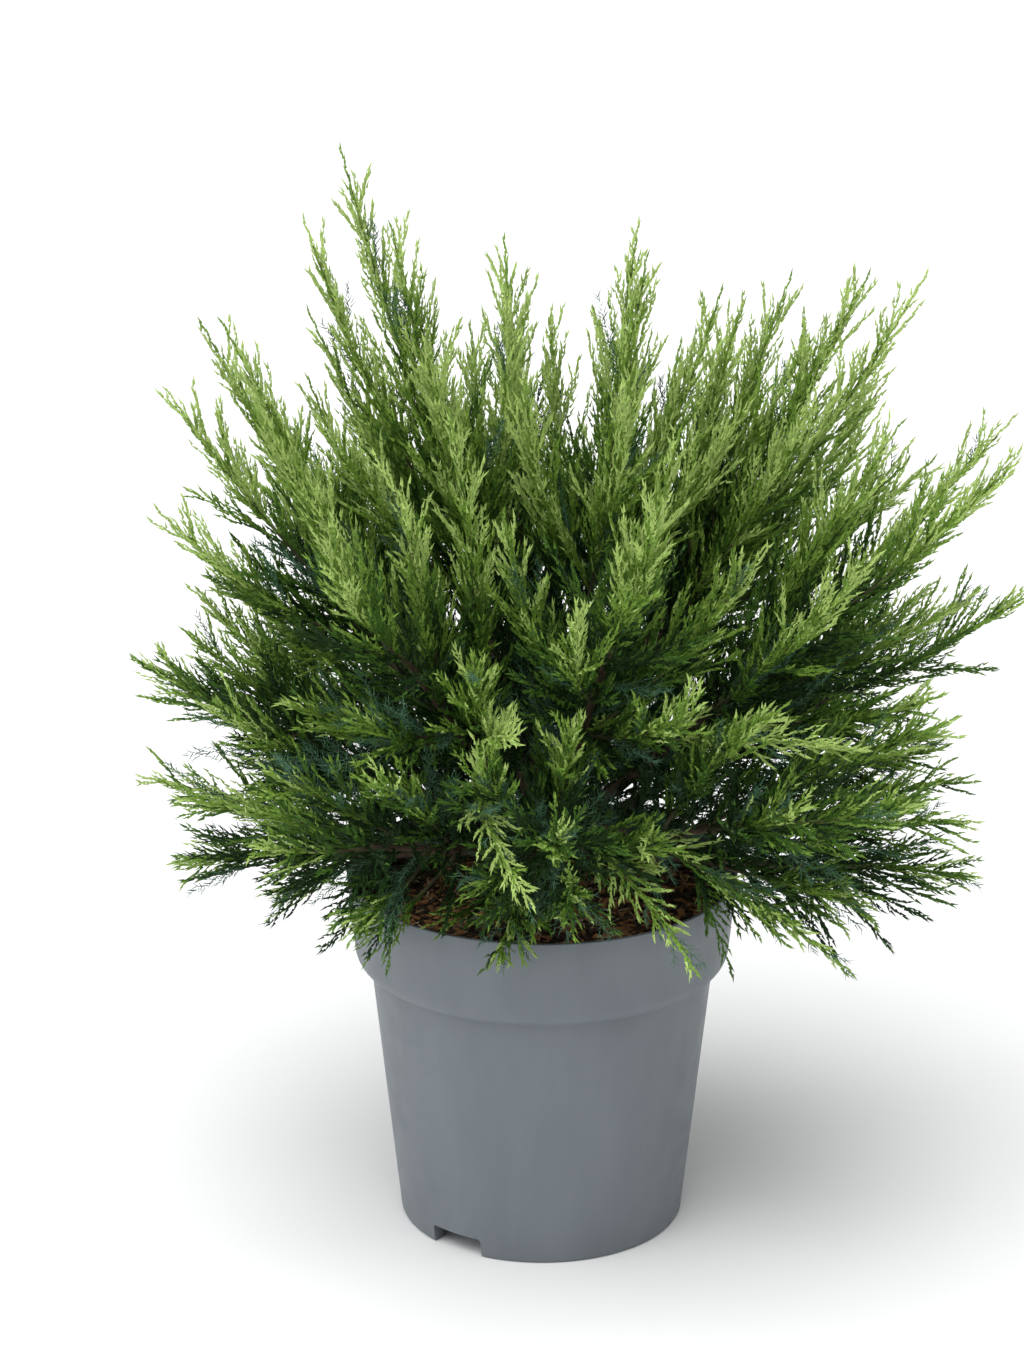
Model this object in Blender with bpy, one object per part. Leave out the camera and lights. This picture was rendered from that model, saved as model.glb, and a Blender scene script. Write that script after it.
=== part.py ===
"""A spreading sea green juniper in its round plastic nursery pot.

Metres, +Z up. The origin is the middle of the pot's underside, and +X is to the right of a viewer
who looks along +Y. The crown is a fountain of boughs from one short stem. Each bough carries one mass
of foliage, and space is shared out between the masses by direction: a point belongs to the bough
that points nearest to it, as seen from the fork, so no two masses can touch.
"""

import math
import random

import bmesh
import bpy
from mathutils import Matrix, Vector

# Pot
POT_HEIGHT = 0.230
RIM_RADIUS = 0.1228
COLLAR_FOOT_RADIUS = 0.1180
COLLAR_FOOT_HEIGHT = 0.182
COLLAR_CORNER = 0.0105
COLLAR_CORNER_STEPS = 2
BODY_TOP_RADIUS = 0.1081
BODY_TOP_HEIGHT = 0.1705
BASE_RADIUS = 0.0896
BASE_BEVEL = 0.0012
WALL = 0.0016
LIP = 0.0010
UNDERSIDE_SLOPE = 0.002
PLATE_UNDERSIDE = 0.0130
PLATE_THICKNESS = 0.0024
FOOT_RING_WIDTH = 0.0090
BOSS_RADIUS = 0.030
FLOOR = PLATE_UNDERSIDE + PLATE_THICKNESS
POT_SEGMENTS = 48
NOTCH_AZIMUTHS = (-127.0, 53.0)
NOTCH_WIDTH = 0.037
NOTCH_HEIGHT = 0.0122
DRAIN_HOLES = 6
DRAIN_HOLE_RADIUS = 0.0045
DRAIN_CIRCLE = 0.056

# Potting mix: it is level round the stem and falls a little towards the wall
SOIL_LEVEL = 0.210
SOIL_SEAT_RADIUS = 0.024
SOIL_DROP = 0.004

# Clear space left between pieces that touch, and the angle up to which an edge is shaded smooth
GAP = 0.0003
SMOOTH_BELOW = 35.0

# Stem
FORK = Vector((0.0, 0.0, 0.243))
STEM_RADIUS = 0.0125
HEAD_HALF_HEIGHT = 0.020
FLARE_RADIUS = 0.0215
FLARE_LOBES = 5
FLARE_LOBE_DEPTH = 0.14
STEM_SIDES = 15
STEM_RINGS = (0.0, 0.12, 0.35, 0.65, 1.0)
HEAD_RINGS = (25.0, 50.0, 72.0)
HEAD_FIT = 0.95

# Crown: how far it reaches from the fork, level to the right and to the left, more for each degree
# upwards to a limit, and less for each degree below the horizon
REACH_RIGHT = 0.270
REACH_LEFT = 0.205
REACH_PER_DEGREE_UP = 0.0031
REACH_LIMIT = 0.405
REACH_PER_DEGREE_DOWN = 0.0040
LOWEST_TIP = 0.198

# Boughs: name, azimuth and elevation from the fork in degrees, vigour as a share of the crown's reach,
# and lift, the share of a leader's length by which its middle hangs under its chord (below zero it
# arches over and droops)
BOUGHS = (
    ("peak_left", 196, 77, 1.04, 0.05),
    ("peak_middle", 322, 79, 1.00, 0.04),
    ("peak_right", 10, 61, 1.03, 0.05),
    ("peak_back", 98, 64, 0.97, 0.06),
    ("arch_right", 340, 44, 1.02, 0.07),
    ("arch_back_right", 52, 44, 1.00, 0.07),
    ("arch_back_left", 134, 42, 1.00, 0.07),
    ("shoulder_left", 182, 53, 1.03, 0.07),
    ("upper_front_left", 234, 50, 0.95, 0.12),
    ("upper_front", 286, 52, 0.95, 0.12),
    ("side_right", 10, 26, 1.00, 0.06),
    ("side_left", 184, 28, 0.98, 0.08),
    ("front_right", 318, 20, 0.98, 0.06),
    ("front", 272, 24, 0.88, 0.10),
    ("front_left", 228, 17, 1.00, 0.06),
    ("back_right", 54, 14, 1.04, 0.04),
    ("back", 94, 22, 0.98, 0.06),
    ("back_left", 138, 12, 1.06, 0.04),
    ("low_right", 350, 0, 1.02, -0.05),
    ("low_left", 186, 0, 1.12, -0.06),
    ("low_front", 260, -4, 0.74, -0.14),
    ("low_back", 96, -1.5, 0.98, -0.10),
)

# Long shoots that stand out past the rest: azimuth, elevation and reach from the fork
LONG_SHOOTS = (
    (188, 75, 0.472),
    (172, 70, 0.430),
    (196, 61, 0.412),
    (168, 57, 0.396),
    (206, 44, 0.325),
    (176, 39, 0.315),
    (172, 24, 0.262),
    (24, 81, 0.405),
    (350, 59, 0.450),
    (18, 66, 0.395),
    (352, 46, 0.412),
    (356, 34, 0.360),
    (342, 22, 0.325),
    (6, 9, 0.305),
    (250, 64, 0.370),
    (74, 52, 0.390),
    (120, 30, 0.320),
)

# A bough ends, and its mass begins, at a share of the mass's reach. Its thickness grows with the reach
BOUGH_SHARE = 0.26
BOUGH_THICKNESS = 0.0050
BOUGH_THICKNESS_OFFSET = 0.55
BOUGH_TAPER = 0.62
BOUGH_SIDES = 6
BOUGH_SEGMENTS = 3

# Leaders, the long shoots of a mass. They leave its stem between two shares of its reach: the one that
# runs straight on leaves last
STEM_SHARE = 0.60
FIRST_LEADER_SHARE = 0.29
LAST_LEADER_SHARE = 0.58
LEADERS = 6
LEADER_SPREAD = math.radians(21.0)
LEADER_FALL = 0.10
LEADER_SHORTER = (0.86, 0.98)
LEADER_BOW = 0.25
LEADER_SEGMENTS = 3
LEADER_RADIUS = 0.0019
LEADER_TIP_RADIUS = 0.0008
GOLDEN_ANGLE = math.radians(137.508)
CELL_MARGIN = 0.0015
TIP_MARGIN = 0.006
POT_CLEARANCE = 0.003

# Blades, each a flat spray of scale leaves on a leader
BLADE_SPACING = 0.049
BLADE_ZONE = (0.20, 0.93)
BLADE_SWEEP = math.radians(33.0)
BLADE_RISE = 0.30
BLADE_LONGEST = 0.088
BLADE_SHORTEST = 0.020
BLADE_WIDTH = 0.30
BLADE_THICKNESS = 0.09
BLADE_WAIST = 0.42

# The dense heart of a mass: a spindle between two shares of its reach, with its rings' share and fill
CORE_ENDS = (0.30, 0.76)
CORE_RINGS = ((0.46, 0.46), (0.61, 0.38))
CORE_SIDES = 6


def direction(azimuth, elevation):
    """Unit vector for an azimuth from +X and an elevation above the horizon, in degrees."""
    a, e = math.radians(azimuth), math.radians(elevation)
    return Vector((math.cos(a) * math.cos(e), math.sin(a) * math.cos(e), math.sin(e)))


BOUGH_DIRECTIONS = [direction(azimuth, elevation) for _, azimuth, elevation, _, _ in BOUGHS]


def crown_reach(heading):
    """How far the crown reaches from the fork in a direction."""
    level = math.hypot(heading.x, heading.y)
    rightness = 0.5 + 0.5 * heading.x / level if level > 1e-6 else 0.5
    reach = REACH_LEFT + (REACH_RIGHT - REACH_LEFT) * rightness
    elevation = math.degrees(math.atan2(heading.z, level))
    if elevation < 0.0:
        return reach + REACH_PER_DEGREE_DOWN * elevation
    return min(REACH_LIMIT, reach + REACH_PER_DEGREE_UP * elevation)


def bough_reach(index):
    """How far a bough's mass reaches from the fork."""
    return crown_reach(BOUGH_DIRECTIONS[index]) * BOUGHS[index][3]


def finish(name, colour, roughness):
    """A Principled material."""
    material = bpy.data.materials.new(name)
    material.use_nodes = True
    shader = material.node_tree.nodes["Principled BSDF"]
    shader.inputs["Base Color"].default_value = (*colour, 1.0)
    shader.inputs["Roughness"].default_value = roughness
    material.diffuse_color = (*colour, 1.0)
    return material


def make_object(name, bm, material=None, smooth_below=0.0):
    """A named object from a bmesh, with its normals outwards."""
    bmesh.ops.recalc_face_normals(bm, faces=bm.faces)
    mesh = bpy.data.meshes.new(name)
    bm.to_mesh(mesh)
    bm.free()
    made = bpy.data.objects.new(name, mesh)
    bpy.context.scene.collection.objects.link(made)
    if material:
        mesh.materials.append(material)
    if smooth_below:
        mesh.shade_smooth()
        mesh.set_sharp_from_angle(angle=math.radians(smooth_below))
    return made


def apply_modifiers(made):
    """Bakes an object's modifiers into its mesh."""
    graph = bpy.context.evaluated_depsgraph_get()
    graph.update()
    mesh = bpy.data.meshes.new_from_object(made.evaluated_get(graph))
    made.modifiers.clear()
    made.data = mesh


def turned(name, profile, segments, material):
    """A solid of revolution about Z from an (r, z) profile that starts and ends on the axis."""
    bm = bmesh.new()
    verts = [bm.verts.new((r, 0.0, z)) for r, z in profile]
    edges = [bm.edges.new(pair) for pair in zip(verts, verts[1:])]
    whole = dict(axis=(0, 0, 1), cent=(0, 0, 0), angle=math.tau, steps=segments, use_merge=True)
    bmesh.ops.spin(bm, geom=verts + edges, **whole)
    bmesh.ops.remove_doubles(bm, verts=bm.verts, dist=1e-6)
    return make_object(name, bm, material, SMOOTH_BELOW)


def body_radius(z):
    """Outer radius of the pot's tapered body at a height."""
    return BASE_RADIUS + (BODY_TOP_RADIUS - BASE_RADIUS) * z / BODY_TOP_HEIGHT


def collar_profile(inset):
    """The collar's rounded foot and its wall up to the lip, outside or moved inwards by a wall."""
    corner = [(BODY_TOP_RADIUS, BODY_TOP_HEIGHT)]
    for step in range(COLLAR_CORNER_STEPS + 1):
        angle = math.radians(90.0 * step / COLLAR_CORNER_STEPS)
        r = COLLAR_FOOT_RADIUS - COLLAR_CORNER * (1.0 - math.sin(angle)) * 0.78
        z = COLLAR_FOOT_HEIGHT - COLLAR_CORNER * math.cos(angle)
        corner.append((r, z))
    return [(r - inset, z) for r, z in corner]


def pot_profile():
    """The pot's closed outline: underside, outer wall, rim, inner wall and floor."""
    foot_inner = BASE_RADIUS - FOOT_RING_WIDTH
    underside = [
        (0.0, 0.0),
        (BOSS_RADIUS, 0.0),
        (BOSS_RADIUS + UNDERSIDE_SLOPE, PLATE_UNDERSIDE),
        (foot_inner - UNDERSIDE_SLOPE, PLATE_UNDERSIDE),
        (foot_inner, 0.0),
        (BASE_RADIUS - BASE_BEVEL, 0.0),
    ]
    outer = [(body_radius(BASE_BEVEL), BASE_BEVEL)]
    outer += collar_profile(0.0)
    outer += [(RIM_RADIUS - LIP * 0.2, POT_HEIGHT - LIP), (RIM_RADIUS - LIP, POT_HEIGHT)]
    inner = [(RIM_RADIUS - WALL - LIP * 0.4, POT_HEIGHT), (RIM_RADIUS - 2 * WALL, POT_HEIGHT - LIP * 2)]
    inner += collar_profile(WALL)[::-1]
    inner += [(body_radius(FLOOR) - WALL, FLOOR), (0.0, FLOOR)]
    return underside + outer + inner


def make_pot(material):
    """The pot, with notches in its skirt and drain holes in its plate."""
    pot = turned("pot", pot_profile(), POT_SEGMENTS, material)
    cutters = bpy.data.collections.new("pot_cutters")
    bpy.context.scene.collection.children.link(cutters)
    for azimuth in NOTCH_AZIMUTHS:
        bm = bmesh.new()
        bmesh.ops.create_cube(bm, size=1.0)
        bmesh.ops.scale(bm, vec=(NOTCH_WIDTH, NOTCH_WIDTH, 2 * NOTCH_HEIGHT), verts=bm.verts)
        bmesh.ops.translate(bm, vec=(BASE_RADIUS, 0.0, 0.0), verts=bm.verts)
        bmesh.ops.rotate(bm, matrix=Matrix.Rotation(math.radians(azimuth), 3, "Z"), verts=bm.verts)
        move_to(make_object("notch_cutter", bm), cutters)
    for hole in range(DRAIN_HOLES):
        bm = bmesh.new()
        bmesh.ops.create_circle(bm, segments=8, radius=DRAIN_HOLE_RADIUS, cap_ends=True)
        top = bmesh.ops.extrude_face_region(bm, geom=bm.faces[:])["geom"]
        top_verts = [element for element in top if isinstance(element, bmesh.types.BMVert)]
        bmesh.ops.translate(bm, vec=(0, 0, 2 * PLATE_THICKNESS), verts=top_verts)
        centre = direction(360.0 * (hole + 0.5) / DRAIN_HOLES, 0.0) * DRAIN_CIRCLE
        centre.z = PLATE_UNDERSIDE - PLATE_THICKNESS / 2
        bmesh.ops.translate(bm, vec=centre, verts=bm.verts)
        move_to(make_object("drain_cutter", bm), cutters)
    join_with(pot, cutters, "DIFFERENCE")
    return pot


def move_to(made, collection):
    """Takes an object out of the scene's own collection into another."""
    bpy.context.scene.collection.objects.unlink(made)
    collection.objects.link(made)


def join_with(made, collection, operation, solver="EXACT"):
    """One Boolean of an object with a collection, applied, with the collection's objects removed."""
    boolean = made.modifiers.new("join", "BOOLEAN")
    boolean.operation = operation
    boolean.operand_type = "COLLECTION"
    boolean.collection = collection
    boolean.solver = solver
    apply_modifiers(made)
    for piece in list(collection.objects):
        bpy.data.objects.remove(piece)
    bpy.data.collections.remove(collection)


def make_soil(material):
    """The potting mix, which fills the pot to a little under its rim."""
    floor = FLOOR + GAP
    inset = WALL + 2 * GAP
    wall_top = SOIL_LEVEL - SOIL_DROP
    collar = collar_profile(inset)
    share = (wall_top - COLLAR_FOOT_HEIGHT) / (POT_HEIGHT - COLLAR_FOOT_HEIGHT)
    top_radius = collar[-1][0] + share * (RIM_RADIUS - COLLAR_FOOT_RADIUS) - GAP
    profile = [(0.0, floor), (body_radius(floor) - inset, floor)]
    profile += collar
    profile += [(top_radius, wall_top), (top_radius * 0.6, SOIL_LEVEL - SOIL_DROP * 0.3)]
    profile += [(SOIL_SEAT_RADIUS, SOIL_LEVEL), (0.0, SOIL_LEVEL)]
    return turned("potting_mix", profile, POT_SEGMENTS // 2, material)


def outside_head(point):
    """True where a point, counted from the fork, is clear of the stem and its domed head."""
    across = math.hypot(point.x, point.y) / (STEM_RADIUS + GAP)
    up = max(0.0, point.z) / (HEAD_HALF_HEIGHT + GAP)
    return across * across + up * up > 1.0


def head_distance(index, radius):
    """How far from the fork a bough starts, clear of the stem's head and of the other boughs."""
    own = BOUGH_DIRECTIONS[index]
    across = own.orthogonal().normalized()
    other = own.cross(across)
    around = [math.tau * n / 12 for n in range(12)]
    ring = [(across * math.cos(a) + other * math.sin(a)) * radius for a in around] + [Vector()]
    distance = STEM_RADIUS
    while not all(
        outside_head(own * distance + point) and in_own_cell(index, FORK + own * distance + point, GAP)
        for point in ring
    ):
        distance += 0.0001
    return distance


def make_stem(material):
    """The short stem: a lobed root flare on the potting mix, a neck, and a head that the boughs leave."""
    rings = []
    base = SOIL_LEVEL + GAP
    neck = FORK.z - base
    radius = STEM_RADIUS * HEAD_FIT
    for share in STEM_RINGS:
        flare = (FLARE_RADIUS - radius) * (1.0 - share) ** 3
        rings.append((base + neck * share, radius + flare, FLARE_LOBE_DEPTH * (1.0 - share) ** 2))
    for angle in map(math.radians, HEAD_RINGS):
        rings.append((FORK.z + HEAD_HALF_HEIGHT * HEAD_FIT * math.sin(angle), radius * math.cos(angle), 0.0))
    bm = bmesh.new()
    loops = []
    for z, radius, lobe in rings:
        loop = []
        for side in range(STEM_SIDES):
            angle = math.tau * side / STEM_SIDES
            r = radius * (1.0 + lobe * math.cos(FLARE_LOBES * angle))
            loop.append(bm.verts.new((r * math.cos(angle), r * math.sin(angle), z)))
        loops.append(loop)
    close_loops(bm, loops)
    return make_object("stem", bm, material, SMOOTH_BELOW)


def close_loops(bm, loops):
    """Walls between rings of vertices, and a face over each end."""
    for lower, upper in zip(loops, loops[1:]):
        for n in range(len(lower)):
            m = (n + 1) % len(lower)
            bm.faces.new((lower[n], lower[m], upper[m], upper[n]))
    bm.faces.new(loops[0][::-1])
    bm.faces.new(loops[-1])


def curve_point(ends, share):
    """A point on the curve from ends[0] to ends[2] that leans towards ends[1]."""
    start, middle, end = ends
    rest = 1.0 - share
    return start * (rest * rest) + middle * (2.0 * rest * share) + end * (share * share)


def curve_heading(ends, share):
    """Which way that curve runs at a share of it."""
    start, middle, end = ends
    return ((middle - start) * (1.0 - share) + (end - middle) * share).normalized()


def tube(name, path, radii, sides):
    """A tapering limb along a path of points, with flat ends."""
    bm = bmesh.new()
    loops = []
    across = (path[1] - path[0]).orthogonal().normalized()
    for n, (point, radius) in enumerate(zip(path, radii)):
        ahead = (path[min(n + 1, len(path) - 1)] - path[max(n - 1, 0)]).normalized()
        across = (across - ahead * across.dot(ahead)).normalized()
        other = ahead.cross(across)
        loops.append(
            [
                bm.verts.new(point + (across * math.cos(a) + other * math.sin(a)) * radius)
                for a in (math.tau * side / sides for side in range(sides))
            ]
        )
    close_loops(bm, loops)
    return make_object(name, bm)


def blade(root, tip, flat, width, thickness):
    """A spray of scale leaves as a pointed blade of eight faces, widest before its middle."""
    along = tip - root
    side = along.cross(flat).normalized()
    waist = root + along * BLADE_WAIST
    bm = bmesh.new()
    ends = [bm.verts.new(root), bm.verts.new(tip)]
    ring = [
        bm.verts.new(waist + offset)
        for offset in (side * width / 2, flat * thickness / 2, -side * width / 2, -flat * thickness / 2)
    ]
    for n in range(4):
        bm.faces.new((ends[0], ring[n], ring[(n + 1) % 4]))
        bm.faces.new((ends[1], ring[(n + 1) % 4], ring[n]))
    return make_object("blade", bm)


def in_own_cell(index, point, margin):
    """True where a point is nearer to this bough's direction than to any other, by a margin."""
    away = point - FORK
    own = BOUGH_DIRECTIONS[index]
    for n, other in enumerate(BOUGH_DIRECTIONS):
        if n != index and away.dot((own - other).normalized()) < margin:
            return False
    return True


def clear_of_pot(point, margin):
    """True outside the rim, over it, or in the hollow above the potting mix."""
    if point.z > POT_HEIGHT + margin:
        return True
    across = math.hypot(point.x, point.y)
    if across > RIM_RADIUS + margin:
        return point.z > COLLAR_FOOT_HEIGHT
    inner = COLLAR_FOOT_RADIUS - 2 * WALL - margin
    return across < inner and point.z > SOIL_LEVEL + margin


def clear_line(start, end):
    """True where the straight line between two points keeps clear of the pot."""
    if min(start.z, end.z) > POT_HEIGHT + POT_CLEARANCE:
        return True
    steps = 2 + int((end - start).length / 0.002)
    return all(clear_of_pot(start.lerp(end, n / steps), POT_CLEARANCE) for n in range(steps + 1))


def allowed(index, points, margin):
    """True where every point keeps to the mass's own space, and the lines between them clear the pot."""
    if not all(in_own_cell(index, point, margin) for point in points):
        return False
    return all(clear_line(a, b) for n, a in enumerate(points) for b in points[n:])


def pulled_into_cell(index, point, margin):
    """The point, moved towards the bough's own line until it lies in the mass's space."""
    own = BOUGH_DIRECTIONS[index]
    distance = (point - FORK).length
    for step in range(21):
        heading = (point - FORK).normalized().lerp(own, step / 20).normalized()
        moved = FORK + heading * distance
        if in_own_cell(index, moved, margin):
            return moved
    return FORK + own * distance


def bough_radius(reach):
    """Radius of a bough where it leaves the stem."""
    return BOUGH_THICKNESS * (BOUGH_THICKNESS_OFFSET + reach)


def leader_curves(index):
    """The seeded rule of a mass: the stem and its leaders, each as start, middle and end points."""
    vigour, lift = BOUGHS[index][3:]
    reach = bough_reach(index)
    own = BOUGH_DIRECTIONS[index]
    draw = random.Random(1000 + index)
    side = own.cross(Vector((0, 0, 1))).normalized()
    up = side.cross(own)
    curves = []
    turn = draw.uniform(0.0, math.tau)
    tips = []
    for k in range(LEADERS):
        share = math.sqrt(k / (LEADERS - 1))
        lean = LEADER_SPREAD * share
        turn += GOLDEN_ANGLE + draw.uniform(-0.25, 0.25)
        outwards = side * math.cos(turn) + up * math.sin(turn)
        heading = own * math.cos(lean) + outwards * math.sin(lean)
        length = crown_reach(heading) * vigour
        if k:
            length *= draw.uniform(*LEADER_SHORTER) * (1.0 - LEADER_FALL * share * share)
        tip = FORK + heading * length
        tip.z = max(tip.z, LOWEST_TIP)
        tips.append(pulled_into_cell(index, tip, TIP_MARGIN))
    for shoot in LONG_SHOOTS:
        tip = FORK + direction(*shoot[:2]) * shoot[2]
        if in_own_cell(index, tip, TIP_MARGIN):
            tips.append(tip)
    for tip in tips:
        share = min(1.0, own.angle(tip - FORK) / LEADER_SPREAD)
        leaves_at = LAST_LEADER_SHARE + (FIRST_LEADER_SHARE - LAST_LEADER_SHARE) * share
        root = FORK + own * reach * leaves_at
        chord = tip - root
        outwards = (tip - FORK) - own * own.dot(tip - FORK)
        middle = root + chord * 0.5 + outwards * LEADER_BOW
        middle -= Vector((0, 0, 1)) * chord.length * lift
        middle = pulled_into_cell(index, middle, TIP_MARGIN)
        curves.append((root, middle, tip))
    return curves


def blade_length(share):
    """Length of a blade at a share of its leader: long below, short near the tip."""
    return BLADE_SHORTEST + (BLADE_LONGEST - BLADE_SHORTEST) * (1.0 - share) ** 1.1


def make_blades(index, curve, draw):
    """The blades of one leader, set round it and swept forwards, with any skipped that leaves the space."""
    made = []
    turn = draw.uniform(0.0, math.tau)
    count = max(2, round((curve[2] - curve[0]).length / BLADE_SPACING))
    for n in range(count):
        share = BLADE_ZONE[0] + (BLADE_ZONE[1] - BLADE_ZONE[0]) * (n + draw.uniform(0.2, 0.8)) / count
        turn += GOLDEN_ANGLE
        root = curve_point(curve, share)
        ahead = curve_heading(curve, share)
        across = ahead.orthogonal().normalized()
        out = across * math.cos(turn) + ahead.cross(across) * math.sin(turn)
        heading = ahead * math.cos(BLADE_SWEEP) + out * math.sin(BLADE_SWEEP)
        heading.z += BLADE_RISE * max(0.0, ahead.z)
        heading.normalize()
        flat = heading.cross(ahead.cross(out)).normalized()
        reach_left = (curve[2] - FORK).length
        for size in (1.0, 0.8, 0.6, 0.4):
            length = blade_length(share) * size
            tip = root + heading * length
            half = flat.cross(heading).normalized() * BLADE_WIDTH * length / 2
            waist = root + heading * length * BLADE_WAIST
            corners = [root, waist + half, waist - half, tip]
            if (tip - FORK).length < reach_left and allowed(index, corners, CELL_MARGIN):
                made.append(blade(root, tip, flat, BLADE_WIDTH * length, BLADE_THICKNESS * length))
                break
    return made


def keep_largest_island(made):
    """Drops loose scraps, and fills a sealed hollow by dropping its inner surface."""
    bm = bmesh.new()
    bm.from_mesh(made.data)
    unseen = set(bm.verts)
    islands = []
    while unseen:
        stack = [unseen.pop()]
        island = set(stack)
        while stack:
            for edge in stack.pop().link_edges:
                for vert in edge.verts:
                    if vert in unseen:
                        unseen.remove(vert)
                        island.add(vert)
                        stack.append(vert)
        islands.append(island)
    largest = max(islands, key=len)
    bmesh.ops.delete(bm, geom=[v for v in bm.verts if v not in largest], context="VERTS")
    bm.to_mesh(made.data)
    bm.free()


def make_core(index):
    """The dense heart of a mass: a faceted spindle along the stem, kept in the mass's space."""
    own = BOUGH_DIRECTIONS[index]
    reach = bough_reach(index)
    across = own.orthogonal().normalized()
    other = own.cross(across)
    bm = bmesh.new()
    ends = [bm.verts.new(FORK + own * reach * share) for share in CORE_ENDS]
    rings = []
    for share, fill in CORE_RINGS:
        centre = FORK + own * reach * share
        ring = []
        for side in range(CORE_SIDES):
            a = math.tau * (side + share) / CORE_SIDES
            out = across * math.cos(a) + other * math.sin(a)
            width = reach * share * math.tan(LEADER_SPREAD) * fill
            while width > 0.003 and not allowed(index, [ends[0].co, centre + out * width, ends[1].co], GAP):
                width *= 0.92
            ring.append(bm.verts.new(centre + out * width))
        rings.append(ring)
    for n in range(CORE_SIDES):
        m = (n + 1) % CORE_SIDES
        bm.faces.new((ends[0], rings[0][m], rings[0][n]))
        bm.faces.new((rings[0][n], rings[0][m], rings[1][m], rings[1][n]))
        bm.faces.new((ends[1], rings[1][n], rings[1][m]))
    return make_object("core", bm)


def make_bough(index, material):
    """One tapering limb from the stem's head to its mass."""
    own = BOUGH_DIRECTIONS[index]
    reach = bough_reach(index)
    radius = bough_radius(reach)
    start = head_distance(index, radius)
    end = reach * BOUGH_SHARE
    shares = [n / BOUGH_SEGMENTS for n in range(BOUGH_SEGMENTS + 1)]
    path = [FORK + own * (start + (end - start) * share) for share in shares]
    radii = [radius * (1.0 - (1.0 - BOUGH_TAPER) * share) for share in shares]
    bough = tube("bough_" + BOUGHS[index][0], path, radii, BOUGH_SIDES)
    bough.data.materials.append(material)
    bough.data.shade_smooth()
    return bough


def make_mass(index, material):
    """A mass of foliage: stem, leaders, blades and heart, joined into one solid."""
    name = BOUGHS[index][0]
    own = BOUGH_DIRECTIONS[index]
    reach = bough_reach(index)
    radius = bough_radius(reach) * BOUGH_TAPER
    start, end = reach * BOUGH_SHARE + GAP, reach * STEM_SHARE
    path = [FORK + own * (start + (end - start) * share) for share in (0.0, 0.5, 1.0)]
    mass = tube("mass_" + name, path, (radius, radius * 0.8, LEADER_RADIUS), 3)
    pieces = bpy.data.collections.new("pieces_" + name)
    bpy.context.scene.collection.children.link(pieces)
    move_to(make_core(index), pieces)
    draw = random.Random(2000 + index)
    for curve in leader_curves(index):
        shares = [n / LEADER_SEGMENTS for n in range(LEADER_SEGMENTS + 1)]
        path = [curve_point(curve, share) for share in shares]
        if not all(allowed(index, pair, CELL_MARGIN) for pair in zip(path[1:], path[2:])):
            continue
        radii = [LEADER_RADIUS + (LEADER_TIP_RADIUS - LEADER_RADIUS) * share for share in shares]
        move_to(tube("leader", path, radii, 3), pieces)
        for piece in make_blades(index, curve, draw):
            move_to(piece, pieces)
    join_with(mass, pieces, "UNION")
    keep_largest_island(mass)
    mass.data.materials.clear()
    mass.data.materials.append(material)
    return mass


def main():
    for old in list(bpy.data.objects):
        bpy.data.objects.remove(old)
    grey_plastic = finish("pot_plastic", (0.165, 0.195, 0.225), 0.55)
    brown_mix = finish("potting_mix", (0.16, 0.065, 0.028), 0.95)
    bark = finish("bark", (0.16, 0.10, 0.065), 0.9)
    green = finish("foliage", (0.075, 0.17, 0.035), 0.7)
    make_pot(grey_plastic)
    make_soil(brown_mix)
    make_stem(bark)
    for index in range(len(BOUGHS)):
        make_bough(index, bark)
        make_mass(index, green)


main()
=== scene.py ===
import math
import random

import bmesh
import bpy
import numpy as np
from mathutils import Matrix, Vector, noise


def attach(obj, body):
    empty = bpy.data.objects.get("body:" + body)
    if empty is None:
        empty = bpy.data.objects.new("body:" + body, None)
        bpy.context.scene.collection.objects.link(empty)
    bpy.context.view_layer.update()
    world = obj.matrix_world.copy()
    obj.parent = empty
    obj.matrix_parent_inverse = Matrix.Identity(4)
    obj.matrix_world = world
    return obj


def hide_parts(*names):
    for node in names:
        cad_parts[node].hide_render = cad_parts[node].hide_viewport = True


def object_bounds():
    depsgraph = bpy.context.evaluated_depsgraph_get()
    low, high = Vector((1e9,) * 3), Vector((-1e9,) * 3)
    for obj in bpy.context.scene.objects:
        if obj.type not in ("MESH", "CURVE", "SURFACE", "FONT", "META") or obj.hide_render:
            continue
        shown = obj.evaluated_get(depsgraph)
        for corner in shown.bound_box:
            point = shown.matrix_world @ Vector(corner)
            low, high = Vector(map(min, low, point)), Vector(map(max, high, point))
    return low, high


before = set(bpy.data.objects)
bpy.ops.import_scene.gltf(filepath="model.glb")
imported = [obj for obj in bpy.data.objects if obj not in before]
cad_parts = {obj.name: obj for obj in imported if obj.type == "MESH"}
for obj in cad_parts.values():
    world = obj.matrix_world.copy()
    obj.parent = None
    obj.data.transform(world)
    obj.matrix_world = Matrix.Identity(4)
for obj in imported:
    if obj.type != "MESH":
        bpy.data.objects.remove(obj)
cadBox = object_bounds()
up = Vector((0.0, 0.0, 1.0))

# The picture: a long lens, set above the crown and looking down at the pot
view = {
    "place": (-0.0189, -2.708, 1.3208),
    "pitch": 19.65,  # degrees down
    "lens": 122.4,
    "sensor": 36.0,
    "farthest": 60.0,
}


def makeCamera():
    data = bpy.data.cameras.new("camera")
    data.lens = view["lens"]
    data.sensor_width = view["sensor"]
    data.clip_end = view["farthest"]
    camera = addObject("camera", data)
    camera.location = view["place"]
    camera.rotation_euler = (math.radians(90.0 - view["pitch"]), 0.0, 0.0)
    bpy.context.scene.camera = camera
    bpy.context.scene.view_settings.view_transform = "Standard"
    print("camera made")


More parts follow.
